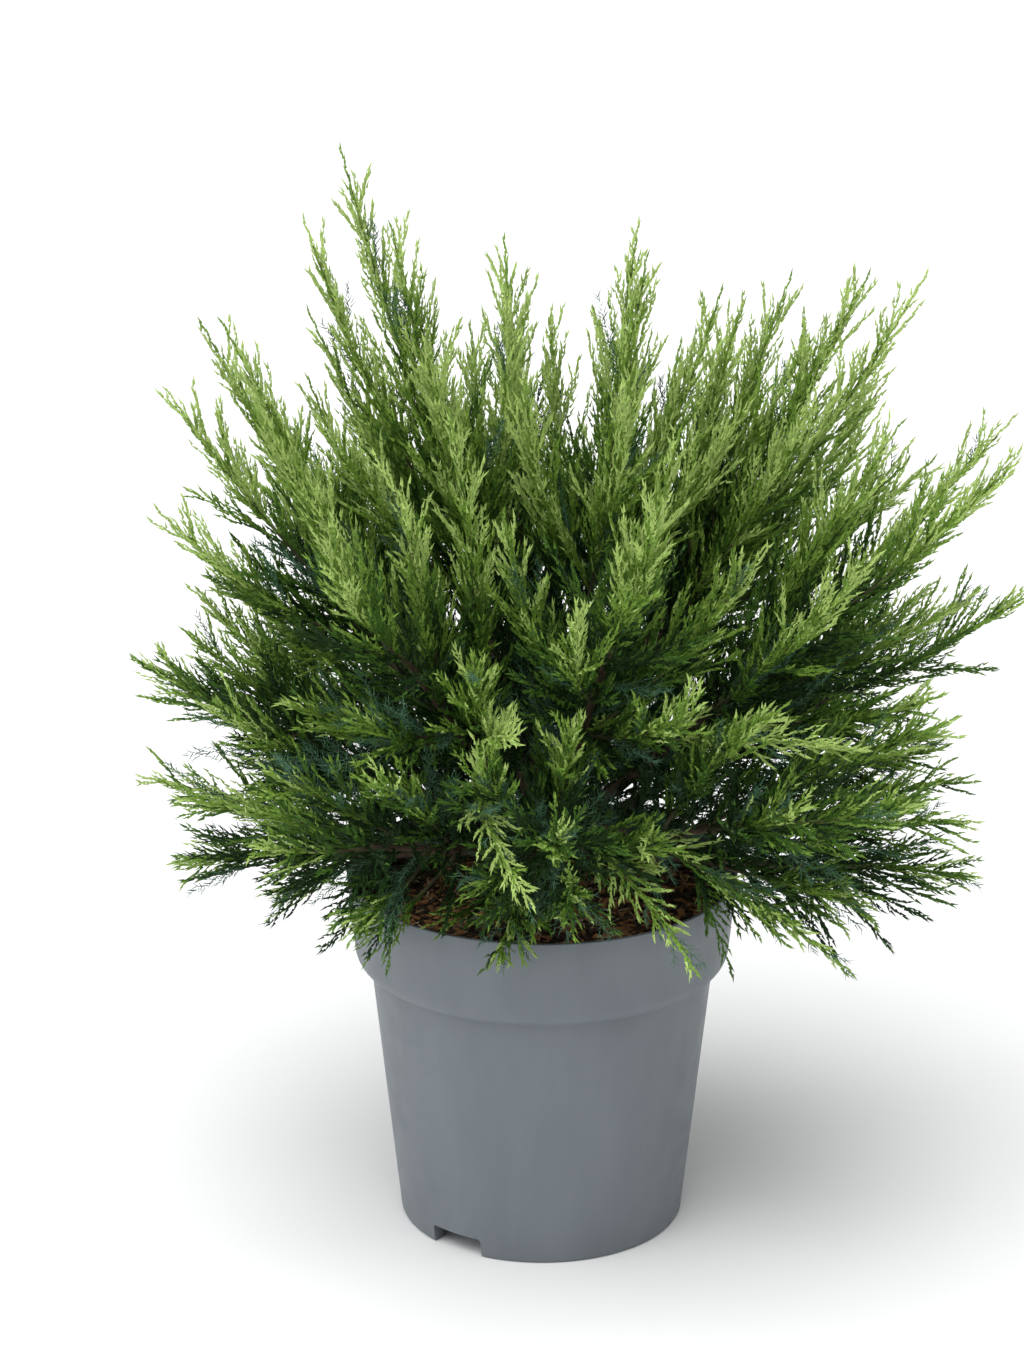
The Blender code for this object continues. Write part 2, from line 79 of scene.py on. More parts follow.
# Studio: a pale floor, a soft key light from nearly above and a weaker one from the left
studio = {
    "floorSize": 80.0,
    "floorDrop": 0.0004,
    "floorColour": (0.88, 0.88, 0.88),
    "floorFinish": {"roughness": 0.9, "spread": 0.015, "scale": 3.0, "detail": 4.0},
    "worldColour": (0.97, 0.99, 1.0),
    "worldStrength": 0.44,
    "suns": (
        # name, place it shines from, softness in degrees, strength
        ("sunKey", (-0.22, -0.50, 1.6), 62.0, 3.0),
        ("sunSide", (-1.6, -0.9, 0.7), 50.0, 0.55),
    ),
}


def makeStudio():
    world = bpy.data.worlds.new("studio")
    world.use_nodes = True
    background = world.node_tree.nodes["Background"]
    background.inputs["Color"].default_value = (*studio["worldColour"], 1.0)
    background.inputs["Strength"].default_value = studio["worldStrength"]
    bpy.context.scene.world = world
    for name, place, softness, strength in studio["suns"]:
        data = bpy.data.lights.new(name, "SUN")
        data.angle = math.radians(softness)
        data.energy = strength
        light = addObject(name, data)
        light.location = place
        light.rotation_euler = (-Vector(place)).to_track_quat("-Z", "Y").to_euler()
    bm = bmesh.new()
    bmesh.ops.create_grid(bm, x_segments=1, y_segments=1, size=studio["floorSize"] / 2)
    bmesh.ops.translate(bm, vec=(0, 0, -studio["floorDrop"]), verts=bm.verts)
    floor = addPiece("floor", bm)
    floor.data.materials.append(mottled("floorFinish", studio["floorColour"], **studio["floorFinish"]))
    print("studio made")


# Small helpers for pieces
def addObject(name, data):
    thing = bpy.data.objects.new(name, data)
    bpy.context.scene.collection.objects.link(thing)
    return thing


def addPiece(name, bm):
    mesh = bpy.data.meshes.new(name)
    bm.to_mesh(mesh)
    bm.free()
    return addObject(name, mesh)


def settle(piece, slotName, *nodes):
    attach(piece, "root")
    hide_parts(*nodes)


def cutAway(piece, cutters):
    # each cutter is a closed mesh object, used once and removed
    for cutter in cutters:
        boolean = piece.modifiers.new("cut", "BOOLEAN")
        boolean.operation = "DIFFERENCE"
        boolean.solver = "EXACT"
        boolean.object = cutter
    graph = bpy.context.evaluated_depsgraph_get()
    graph.update()
    piece.data = bpy.data.meshes.new_from_object(piece.evaluated_get(graph))
    piece.modifiers.clear()
    for cutter in cutters:
        bpy.data.objects.remove(cutter)


def meshFromArrays(name, verts, faces):
    # many copies of one small closed form: verts is (count, corners, 3), faces index one form
    count, corners = verts.shape[:2]
    offsets = (np.arange(count) * corners)[:, None, None]
    allFaces = (faces[None] + offsets).reshape(-1, faces.shape[1])
    mesh = bpy.data.meshes.new(name)
    mesh.from_pydata(verts.reshape(-1, 3).tolist(), [], allFaces.tolist())
    return addObject(name, mesh)


def unit(rows):
    return rows / np.maximum(np.linalg.norm(rows, axis=-1, keepdims=True), 1e-9)


def stacked(vectors):
    return np.array([tuple(vector) for vector in vectors])


# Small helpers for materials
def newMaterial(name):
    material = bpy.data.materials.new(name)
    material.use_nodes = True
    tree = material.node_tree
    return material, tree, tree.nodes["Principled BSDF"]


def addNode(tree, kind, **settings):
    node = tree.nodes.new(kind)
    for key, value in settings.items():
        if key in node.inputs:
            node.inputs[key].default_value = value
        else:
            setattr(node, key, value)
    return node


def mapped(tree, scale=(1, 1, 1), turn=(0, 0, 0)):
    coordinates = tree.nodes.new("ShaderNodeTexCoord")
    mapping = addNode(tree, "ShaderNodeMapping", Scale=scale, Rotation=turn)
    tree.links.new(coordinates.outputs["Object"], mapping.inputs["Vector"])
    return mapping.outputs["Vector"]


def noiseAt(tree, vector, scale, detail=4.0, roughness=0.55, distortion=0.0):
    settings = {"Scale": scale, "Detail": detail, "Roughness": roughness, "Distortion": distortion}
    node = addNode(tree, "ShaderNodeTexNoise", **settings)
    tree.links.new(vector, node.inputs["Vector"])
    return node.outputs["Fac"]


def ramp(tree, value, stops):
    node = tree.nodes.new("ShaderNodeValToRGB")
    elements = node.color_ramp.elements
    while len(elements) < len(stops):
        elements.new(0.5)
    for element, (place, colour) in zip(elements, stops):
        element.position = place
        element.color = (*colour, 1.0)
    tree.links.new(value, node.inputs["Fac"])
    return node.outputs["Color"]


def bumpFrom(tree, shader, height, distance, strength):
    node = addNode(tree, "ShaderNodeBump", Distance=distance, Strength=strength)
    tree.links.new(height, node.inputs["Height"])
    tree.links.new(node.outputs["Normal"], shader.inputs["Normal"])


def grey(level):
    return (level, level, level)


def shaded(colour, share):
    return tuple(min(1.0, part * share) for part in colour)


def mottled(name, colour, roughness, spread, scale, detail=3.0):
    material, tree, shader = newMaterial(name)
    patches = noiseAt(tree, mapped(tree), scale, detail)
    stops = ((0.30, shaded(colour, 1.0 - spread)), (0.70, shaded(colour, 1.0 + spread)))
    tree.links.new(ramp(tree, patches, stops), shader.inputs["Base Color"])
    shader.inputs["Roughness"].default_value = roughness
    return material


# Pot
pot = {
    "height": 0.230,
    "rimRadius": 0.1228,
    "collarFootRadius": 0.1180,
    "collarFootHeight": 0.182,
    "collarCorner": 0.0105,
    "cornerRun": 0.78,  # the corner's width as a share of its height
    "cornerSteps": 7,
    "collarRings": (0.015, 0.030),  # heights above the collar's foot
    "bodyTopRadius": 0.1081,
    "bodyTopHeight": 0.1705,
    "bodyRings": (0.03, 0.06, 0.09, 0.12, 0.15),
    "baseRadius": 0.0896,
    "baseBevel": 0.0014,
    "wall": 0.0016,
    "lip": 0.0010,
    "outerRound": 0.3,  # where the middle of a rounded outer edge lies
    "innerRound": 0.4,
    "plateUnderside": 0.0130,
    "plateThickness": 0.0024,
    "footRingWidth": 0.0090,
    "footDraft": 0.002,
    "bossRadius": 0.030,
    "segments": 144,
    "sharpAngle": math.radians(32.0),
    "notchAzimuths": (-127.0, 53.0),
    "notchWidth": 0.037,
    "notchHeight": 0.0122,
    "notchRounding": 0.0022,
    "notchSteps": 4,
    "drainHoles": 6,
    "drainHoleRadius": 0.0045,
    "drainHoleSides": 24,
    "drainCircle": 0.056,
    "colour": (0.144, 0.164, 0.182),
    "stain": (0.130, 0.149, 0.166),
    "bloom": (0.159, 0.180, 0.198),
    "streak": 0.90,
    "streakStrength": 0.3,
    "roughness": (0.42, 0.58),
}


def bodyRadius(z):
    return pot["baseRadius"] + (pot["bodyTopRadius"] - pot["baseRadius"]) * z / pot["bodyTopHeight"]


def collarLine(inset):
    # the body's top, the collar's rounded foot and the point where its wall starts
    line = [(pot["bodyTopRadius"], pot["bodyTopHeight"])]
    for step in range(pot["cornerSteps"] + 1):
        angle = math.pi / 2 * step / pot["cornerSteps"]
        r = pot["collarFootRadius"] - pot["collarCorner"] * (1.0 - math.sin(angle)) * pot["cornerRun"]
        z = pot["collarFootHeight"] - pot["collarCorner"] * math.cos(angle)
        line.append((r, z))
    return [(r - inset, z) for r, z in line]


def potLine():
    base, rim, height = pot["baseRadius"], pot["rimRadius"], pot["height"]
    bevel, lip, wall = pot["baseBevel"], pot["lip"], pot["wall"]
    boss, draft, under = pot["bossRadius"], pot["footDraft"], pot["plateUnderside"]
    outer, inner = pot["outerRound"], pot["innerRound"]
    foot = base - pot["footRingWidth"]
    floor = under + pot["plateThickness"]
    # underside: middle boss, hollow below the plate, foot ring
    line = [(0.0, 0.0), (boss, 0.0), (boss + draft, under), (foot - draft, under), (foot, 0.0)]
    line += [(base - bevel, 0.0), (base - bevel * outer, bevel * outer), (bodyRadius(bevel), bevel)]
    # outside: tapered body, collar, rim
    line += [(bodyRadius(z), z) for z in pot["bodyRings"]]
    line += collarLine(0.0)
    slope = (rim - pot["collarFootRadius"]) / (height - pot["collarFootHeight"])
    for rise in pot["collarRings"]:
        line.append((pot["collarFootRadius"] + slope * rise, pot["collarFootHeight"] + rise))
    line += [(rim, height - lip), (rim - lip * outer, height - lip * outer), (rim - lip, height)]
    # inside, from the rim down to the plate
    line += [(rim - wall - lip * inner, height), (rim - 2 * wall, height - 2 * lip)]
    line += collarLine(wall)[::-1]
    line += [(bodyRadius(floor) - wall, floor), (0.0, floor)]
    return line


def spinLine(line, segments):
    bm = bmesh.new()
    verts = [bm.verts.new((r, 0.0, z)) for r, z in line]
    edges = [bm.edges.new(pair) for pair in zip(verts, verts[1:])]
    whole = dict(axis=(0, 0, 1), cent=(0, 0, 0), angle=math.tau, steps=segments, use_merge=True)
    bmesh.ops.spin(bm, geom=verts + edges, **whole)
    bmesh.ops.remove_doubles(bm, verts=bm.verts, dist=1e-6)
    bmesh.ops.recalc_face_normals(bm, faces=bm.faces)
    return bm


def notchCutter(azimuth):
    width = pot["notchWidth"]
    bm = bmesh.new()
    bmesh.ops.create_cube(bm, size=1.0)
    bmesh.ops.scale(bm, vec=(width, width, 2 * pot["notchHeight"]), verts=bm.verts)
    # only the edges that run outwards are rounded
    outward = [edge for edge in bm.edges if abs(edge.verts[0].co.x - edge.verts[1].co.x) > width / 2]
    rounding = dict(offset=pot["notchRounding"], segments=pot["notchSteps"], profile=0.5)
    bmesh.ops.bevel(bm, geom=outward, affect="EDGES", material=-1, **rounding)
    bmesh.ops.translate(bm, vec=(pot["baseRadius"], 0.0, 0.0), verts=bm.verts)
    bmesh.ops.rotate(bm, matrix=Matrix.Rotation(math.radians(azimuth), 3, "Z"), verts=bm.verts)
    return addPiece("notchCutter", bm)


def drainCutter(number):
    bm = bmesh.new()
    disc = dict(segments=pot["drainHoleSides"], radius=pot["drainHoleRadius"])
    bmesh.ops.create_circle(bm, cap_ends=True, **disc)
    top = bmesh.ops.extrude_face_region(bm, geom=bm.faces[:])["geom"]
    verts = [part for part in top if isinstance(part, bmesh.types.BMVert)]
    bmesh.ops.translate(bm, vec=(0, 0, 2 * pot["plateThickness"]), verts=verts)
    bmesh.ops.recalc_face_normals(bm, faces=bm.faces)
    angle = math.tau * (number + 0.5) / pot["drainHoles"]
    x, y = pot["drainCircle"] * math.cos(angle), pot["drainCircle"] * math.sin(angle)
    z = pot["plateUnderside"] - pot["plateThickness"] / 2
    bmesh.ops.translate(bm, vec=(x, y, z), verts=bm.verts)
    return addPiece("drainCutter", bm)


def makePot():
    piece = addPiece("potShell", spinLine(potLine(), pot["segments"]))
    cutters = [notchCutter(azimuth) for azimuth in pot["notchAzimuths"]]
    cutters += [drainCutter(number) for number in range(pot["drainHoles"])]
    cutAway(piece, cutters)
    piece.data.materials.clear()
    piece.data.materials.append(potFinish())
    piece.data.shade_smooth()
    piece.data.set_sharp_from_angle(angle=pot["sharpAngle"])
    settle(piece, "pot_plastic", "pot")
    print("pot made")


def potFinish():
    # cloudy plastic with faint slanting streaks, uneven gloss and a fine grain
    material, tree, shader = newMaterial("potPlastic")
    clouds = noiseAt(tree, mapped(tree, scale=(1.0, 1.0, 0.35)), scale=22.0, detail=6.0, roughness=0.6)
    base = ramp(tree, clouds, ((0.30, pot["stain"]), (0.52, pot["colour"]), (0.78, pot["bloom"])))
    slanted = mapped(tree, scale=(1.0, 1.0, 0.10), turn=(0.0, 0.3, 0.2))
    streaks = noiseAt(tree, slanted, scale=90.0, detail=3.0)
    tone = ramp(tree, streaks, ((0.35, grey(pot["streak"])), (0.60, grey(1.0))))
    veil = addNode(tree, "ShaderNodeMix", data_type="RGBA", blend_type="MULTIPLY")
    # of this node's sockets, inputs 6 and 7 and output 2 carry colours
    veil.inputs[0].default_value = pot["streakStrength"]
    tree.links.new(base, veil.inputs[6])
    tree.links.new(tone, veil.inputs[7])
    tree.links.new(veil.outputs[2], shader.inputs["Base Color"])
    smooth, dull = pot["roughness"]
    patches = noiseAt(tree, mapped(tree), scale=60.0, detail=5.0)
    gloss = ramp(tree, patches, ((0.3, grey(smooth)), (0.7, grey(dull))))
    tree.links.new(gloss, shader.inputs["Roughness"])
    grain = noiseAt(tree, mapped(tree), scale=900.0, detail=2.0)
    bumpFrom(tree, shader, grain, distance=0.00006, strength=0.35)
    return material


# Limbs: the CAD source's rule for boughs and leaders, from the same seeds
limbs = {
    "fork": Vector((0.0, 0.0, 0.243)),
    "boughs": (
        # name, azimuth, elevation, vigour, lift
        ("peak_left", 196, 77, 1.04, 0.05),
        ("peak_middle", 322, 79, 1.00, 0.04),
        ("peak_right", 10, 61, 1.03, 0.05),
        ("peak_back", 98, 64, 0.97, 0.06),
        ("arch_right", 340, 44, 1.02, 0.07),
        ("arch_back_right", 52, 44, 1.00, 0.07),
        ("arch_back_left", 134, 42, 1.00, 0.07),
        ("shoulder_left", 182, 53, 1.03, 0.07),
        ("upper_front_left", 234, 50, 0.95, 0.12),
        ("upper_front", 286, 52, 0.95, 0.12),
        ("side_right", 10, 26, 1.00, 0.06),
        ("side_left", 184, 28, 0.98, 0.08),
        ("front_right", 318, 20, 0.98, 0.06),
        ("front", 272, 24, 0.88, 0.10),
        ("front_left", 228, 17, 1.00, 0.06),
        ("back_right", 54, 14, 1.04, 0.04),
        ("back", 94, 22, 0.98, 0.06),
        ("back_left", 138, 12, 1.06, 0.04),
        ("low_right", 350, 0, 1.02, -0.05),
        ("low_left", 186, 0, 1.12, -0.06),
        ("low_front", 260, -4, 0.74, -0.14),
        ("low_back", 96, -1.5, 0.98, -0.10),
    ),
    "longShoots": (
        # azimuth, elevation, reach from the fork
        (188, 75, 0.472),
        (172, 70, 0.430),
        (196, 61, 0.412),
        (168, 57, 0.396),
        (206, 44, 0.325),
        (176, 39, 0.315),
        (172, 24, 0.262),
        (24, 81, 0.405),
        (350, 59, 0.450),
        (18, 66, 0.395),
        (352, 46, 0.412),
        (356, 34, 0.360),
        (342, 22, 0.325),
        (6, 9, 0.305),
        (250, 64, 0.370),
        (74, 52, 0.390),
        (120, 30, 0.320),
    ),
    "reachRight": 0.270,
    "reachLeft": 0.205,
    "reachPerDegreeUp": 0.0031,
    "reachLimit": 0.405,
    "reachPerDegreeDown": 0.0040,
    "lowestTip": 0.198,
    "boughThickness": 0.0050,
    "thicknessOffset": 0.55,
    "boughTaper": 0.62,
    "boughShare": 0.26,
    "stemShare": 0.60,
    "firstLeaderShare": 0.29,
    "lastLeaderShare": 0.58,
    "leaders": 6,
    "leaderSpread": math.radians(21),
    "leaderFall": 0.10,
    "leaderShorter": (0.86, 0.98),
    "leaderBow": 0.25,
    "leaderSegments": 3,
    "leaderRadius": 0.0019,
    "twigRadius": 0.00171,
    "twigTipRadius": 0.0004,
    "twigTaper": 1.7,
    "twigEnd": 0.93,
    "twigSteps": 9,
    "twigSides": 6,
    "boughRings": 30,
    "boughSides": 12,
    "cellMargin": 0.0015,
    "tipMargin": 0.006,
    "pullSteps": 20,
    "potClearance": 0.003,
    "lineStep": 0.002,
    "leaderTurn": 0.25,
    "seed": 1000,
    "barkColour": (0.055, 0.036, 0.023),
    "barkRidge": (0.130, 0.088, 0.056),
    "twigFinish": {"colour": (0.078, 0.068, 0.030), "roughness": 0.8, "spread": 0.35, "scale": 90.0},
    "relief": ((240.0, 1.0), (90.0, 0.6)),  # scale and share of each noise
    "stemRelief": 0.0007,
    "boughRelief": 0.000315,
}
goldenAngle = math.radians(137.508)


def direction(azimuth, elevation):
    a, e = math.radians(azimuth), math.radians(elevation)
    return Vector((math.cos(a) * math.cos(e), math.sin(a) * math.cos(e), math.sin(e)))


boughDirections = [direction(azimuth, elevation) for _, azimuth, elevation, _, _ in limbs["boughs"]]


def crownReach(heading):
    level = math.hypot(heading.x, heading.y)
    rightness = 0.5 + 0.5 * heading.x / level if level > 1e-6 else 0.5
    reach = limbs["reachLeft"] + (limbs["reachRight"] - limbs["reachLeft"]) * rightness
    elevation = math.degrees(math.atan2(heading.z, level))
    if elevation < 0.0:
        return reach + limbs["reachPerDegreeDown"] * elevation
    return min(limbs["reachLimit"], reach + limbs["reachPerDegreeUp"] * elevation)


def boughReach(index):
    return crownReach(boughDirections[index]) * limbs["boughs"][index][3]


def boughRadius(reach):
    return limbs["boughThickness"] * (limbs["thicknessOffset"] + reach)


def inOwnCell(index, point, margin):
    away = point - limbs["fork"]
    own = boughDirections[index]
    for n, other in enumerate(boughDirections):
        if n != index and away.dot((own - other).normalized()) < margin:
            return False
    return True


def clearOfPot(point, margin):
    if point.z > pot["height"] + margin:
        return True
    across = math.hypot(point.x, point.y)
    if across > pot["rimRadius"] + margin:
        return point.z > pot["collarFootHeight"]
    return across < pot["collarFootRadius"] - 2 * pot["wall"] - margin and point.z > soil["level"] + margin


def clearLine(start, end):
    if min(start.z, end.z) > pot["height"] + limbs["potClearance"]:
        return True
    steps = 2 + int((end - start).length / limbs["lineStep"])
    return all(clearOfPot(start.lerp(end, n / steps), limbs["potClearance"]) for n in range(steps + 1))


def allowed(index, points, margin):
    if not all(inOwnCell(index, point, margin) for point in points):
        return False
    return all(clearLine(a, b) for n, a in enumerate(points) for b in points[n:])


def pulledIntoCell(index, point, margin):
    own = boughDirections[index]
    distance = (point - limbs["fork"]).length
    for step in range(limbs["pullSteps"] + 1):
        pull = step / limbs["pullSteps"]
        heading = (point - limbs["fork"]).normalized().lerp(own, pull).normalized()
        moved = limbs["fork"] + heading * distance
        if inOwnCell(index, moved, margin):
            return moved
    return limbs["fork"] + own * distance


def curvePoint(ends, share):
    start, middle, end = ends
    rest = 1.0 - share
    return start * (rest * rest) + middle * (2.0 * rest * share) + end * (share * share)


def curveHeading(ends, share):
    start, middle, end = ends
    return ((middle - start) * (1.0 - share) + (end - middle) * share).normalized()


def leaderTips(index):
    fork, own = limbs["fork"], boughDirections[index]
    draw = random.Random(limbs["seed"] + index)
    side = own.cross(up).normalized()
    above = side.cross(own)
    turn = draw.uniform(0.0, math.tau)
    tips = []
    for k in range(limbs["leaders"]):
        share = math.sqrt(k / (limbs["leaders"] - 1))
        lean = limbs["leaderSpread"] * share
        turn += goldenAngle + draw.uniform(-limbs["leaderTurn"], limbs["leaderTurn"])
        outwards = side * math.cos(turn) + above * math.sin(turn)
        heading = own * math.cos(lean) + outwards * math.sin(lean)
        length = crownReach(heading) * limbs["boughs"][index][3]
        if k:
            length *= draw.uniform(*limbs["leaderShorter"]) * (1.0 - limbs["leaderFall"] * share * share)
        tip = fork + heading * length
        tip.z = max(tip.z, limbs["lowestTip"])
        tips.append(pulledIntoCell(index, tip, limbs["tipMargin"]))
    for azimuth, elevation, reach in limbs["longShoots"]:
        tip = fork + direction(azimuth, elevation) * reach
        if inOwnCell(index, tip, limbs["tipMargin"]):
            tips.append(tip)
    return tips


def leaderCurves(index):
    fork, own = limbs["fork"], boughDirections[index]
    reach = boughReach(index)
    first, last = limbs["firstLeaderShare"], limbs["lastLeaderShare"]
    curves = []
    for tip in leaderTips(index):
        share = min(1.0, own.angle(tip - fork) / limbs["leaderSpread"])
        root = fork + own * reach * (last + (first - last) * share)
        chord = tip - root
        outwards = (tip - fork) - own * own.dot(tip - fork)
        middle = root + chord * 0.5 + outwards * limbs["leaderBow"]
        middle -= up * chord.length * limbs["boughs"][index][4]
        middle = pulledIntoCell(index, middle, limbs["tipMargin"])
        segments = limbs["leaderSegments"]
        path = [curvePoint((root, middle, tip), n / segments) for n in range(segments + 1)]
        if all(allowed(index, pair, limbs["cellMargin"]) for pair in zip(path[1:], path[2:])):
            curves.append((root, middle, tip))
    return curves


def tubes(name, paths, sides):
    # one mesh of tapering tubes with closed ends; each path is a list of points and radii
    data = bpy.data.curves.new(name, "CURVE")
    data.dimensions = "3D"
    data.bevel_depth = 0.001
    data.bevel_resolution = (sides - 4) // 2
    data.use_fill_caps = True
    for points, radii in paths:
        spline = data.splines.new("POLY")
        spline.points.add(len(points) - 1)
        for knot, point, radius in zip(spline.points, points, radii):
            knot.co = (*point, 1.0)
            knot.radius = radius / data.bevel_depth
    shape = addObject(name, data)
    graph = bpy.context.evaluated_depsgraph_get()
    graph.update()
    mesh = bpy.data.meshes.new_from_object(shape.evaluated_get(graph))
    bpy.data.objects.remove(shape)
    bm = bmesh.new()
    bm.from_mesh(mesh)
    bmesh.ops.recalc_face_normals(bm, faces=bm.faces)
    return bm


def roughen(bm, depth):
    # small bumps in the wood
    bm.normal_update()
    moves = []
    for vert in bm.verts:
        bump = sum(share * noise.noise(vert.co * scale) for scale, share in limbs["relief"])
        moves.append(vert.normal * depth * bump)
    for vert, move in zip(bm.verts, moves):
        vert.co += move


def boughPath(index):
    # the bough as the source has it, then a thinner run to the last of its leaders
    own, reach = boughDirections[index], boughReach(index)
    thick = boughRadius(reach)
    points, radii = [], []
    for n in range(limbs["boughRings"] + 1):
        along = reach * limbs["stemShare"] * n / limbs["boughRings"]
        share = along / (reach * limbs["boughShare"])
        if share < 1.0:
            radius = thick * (1.0 - (1.0 - limbs["boughTaper"]) * share)
        else:
            rest = (share - 1.0) / (limbs["stemShare"] / limbs["boughShare"] - 1.0)
            radius = thick * limbs["boughTaper"] * (1.0 - rest) + limbs["leaderRadius"] * rest
        points.append(limbs["fork"] + own * along)
        radii.append(radius)
    return points, radii


def makeBark():
    bark = barkFinish()
    paths = [boughPath(index) for index in range(len(boughDirections))]
    boughs = tubes("boughBark", paths, limbs["boughSides"])
    roughen(boughs, limbs["boughRelief"])
    boughNodes = ["bough_" + row[0] for row in limbs["boughs"]]
    for name, bm, nodes in (("boughBark", boughs, boughNodes), ("stemBark", stemShape(), ["stem"])):
        piece = addPiece(name, bm)
        piece.data.materials.append(bark)
        piece.data.shade_smooth()
        settle(piece, "bark", *nodes)
    print("bark made")


stemForm = {
    "radius": 0.0119,
    "flareRadius": 0.0215,
    "lobes": 5,
    "lobeDepth": 0.14,
    "headHalfHeight": 0.019,
    "headAngles": (12, 25, 38, 51, 64, 77),  # degrees
    "segments": 60,
    "rings": 26,
    "sink": 0.004,
}


def stemShape():
    # a lobed flare at the potting mix, a plain neck, and a rounded head round the fork
    radius, head, fork = stemForm["radius"], stemForm["headHalfHeight"], limbs["fork"].z
    base = soil["level"] - stemForm["sink"]
    neck = fork - base
    line = [(0.0, base)]
    for n in range(stemForm["rings"] + 1):
        share = n / stemForm["rings"]
        flare = (stemForm["flareRadius"] - radius) * (1.0 - share) ** 3
        line.append((radius + flare, base + neck * share))
    for angle in map(math.radians, stemForm["headAngles"]):
        line.append((radius * math.cos(angle), fork + head * math.sin(angle)))
    line.append((0.0, fork + head))
    bm = spinLine(line, stemForm["segments"])
    for vert in bm.verts:
        share = min(1.0, max(0.0, (vert.co.z - base) / neck))
        angle = math.atan2(vert.co.y, vert.co.x)
        lobe = 1.0 + stemForm["lobeDepth"] * (1.0 - share) ** 2 * math.cos(stemForm["lobes"] * angle)
        vert.co.x *= lobe
        vert.co.y *= lobe
    roughen(bm, limbs["stemRelief"])
    return bm


def barkFinish():
    material, tree, shader = newMaterial("barkFinish")
    upright = mapped(tree, scale=(1.0, 1.0, 0.25))
    ridges = noiseAt(tree, upright, scale=420.0, detail=6.0, roughness=0.65, distortion=0.4)
    colour = ramp(tree, ridges, ((0.35, limbs["barkColour"]), (0.68, limbs["barkRidge"])))
    tree.links.new(colour, shader.inputs["Base Color"])
    shader.inputs["Roughness"].default_value = 0.85
    bumpFrom(tree, shader, ridges, distance=0.0006, strength=0.7)
    return material


# Potting mix: a bed of bark chips and fibres
soil = {
    "level": 0.210,
    "drop": 0.004,
    "gap": 0.0003,
    "bumps": (
        # scale, slice of the noise, share
        (55.0, 3.0, 1.0),
        (140.0, 7.0, 0.5),
    ),
    "bumpHeight": 0.0016,
    "rings": 30,
    "segments": 96,
    "bedColour": (0.022, 0.015, 0.009),
    "bedLight": (0.075, 0.045, 0.022),
    "edge": 0.1155,
    "stemRoom": 0.0192,
    "seed": 77,
    "kinds": (
        # name, count, length, width, thickness, colour
        ("chipsDark", 1500, (0.004, 0.012), (0.0020, 0.0048), (0.0010, 0.0022), (0.050, 0.028, 0.014)),
        ("chipsRust", 1150, (0.004, 0.014), (0.0018, 0.0045), (0.0008, 0.0020), (0.340, 0.160, 0.058)),
        ("chipsStraw", 420, (0.005, 0.017), (0.0006, 0.0014), (0.0005, 0.0010), (0.560, 0.430, 0.250)),
    ),
    "chipLift": (-0.0008, 0.0020),
    "chipTilt": 0.22,
    "chipCorner": (0.55, 1.0),  # how far out each corner lies
    "chipFinish": {"roughness": 0.9, "spread": 0.45, "scale": 130.0},
}


def soilHeight(x, y):
    across = math.hypot(x, y) / soil["edge"]
    bump = sum(share * noise.noise((x * scale, y * scale, layer)) for scale, layer, share in soil["bumps"])
    return soil["level"] - soil["drop"] * across * across + soil["bumpHeight"] * bump


def bedShape():
    # fills the pot from its plate up; the top is bumpy but for its outermost ring
    floor = pot["plateUnderside"] + pot["plateThickness"] + soil["gap"]
    inset = pot["wall"] + 2 * soil["gap"]
    wallTop = soil["level"] - soil["drop"]
    collar = collarLine(inset)
    rise = (wallTop - pot["collarFootHeight"]) / (pot["height"] - pot["collarFootHeight"])
    edge = collar[-1][0] + rise * (pot["rimRadius"] - pot["collarFootRadius"]) - soil["gap"]
    line = [(0.0, floor), (bodyRadius(floor) - inset, floor)] + collar
    line += [(edge * (1.0 - n / soil["rings"]), wallTop) for n in range(soil["rings"] + 1)]
    bm = spinLine(line, soil["segments"])
    hair = 1e-4
    for vert in bm.verts:
        if vert.co.z > wallTop - hair and math.hypot(vert.co.x, vert.co.y) < edge - hair:
            vert.co.z = soilHeight(vert.co.x, vert.co.y)
    bmesh.ops.recalc_face_normals(bm, faces=bm.faces)
    return bm


def bedFinish():
    material, tree, shader = newMaterial("soilBedFinish")
    crumbs = noiseAt(tree, mapped(tree), scale=260.0, detail=8.0, roughness=0.7)
    stops = ((0.40, soil["bedColour"]), (0.75, soil["bedLight"]))
    tree.links.new(ramp(tree, crumbs, stops), shader.inputs["Base Color"])
    shader.inputs["Roughness"].default_value = 0.95
    bumpFrom(tree, shader, crumbs, distance=0.002, strength=0.9)
    return material


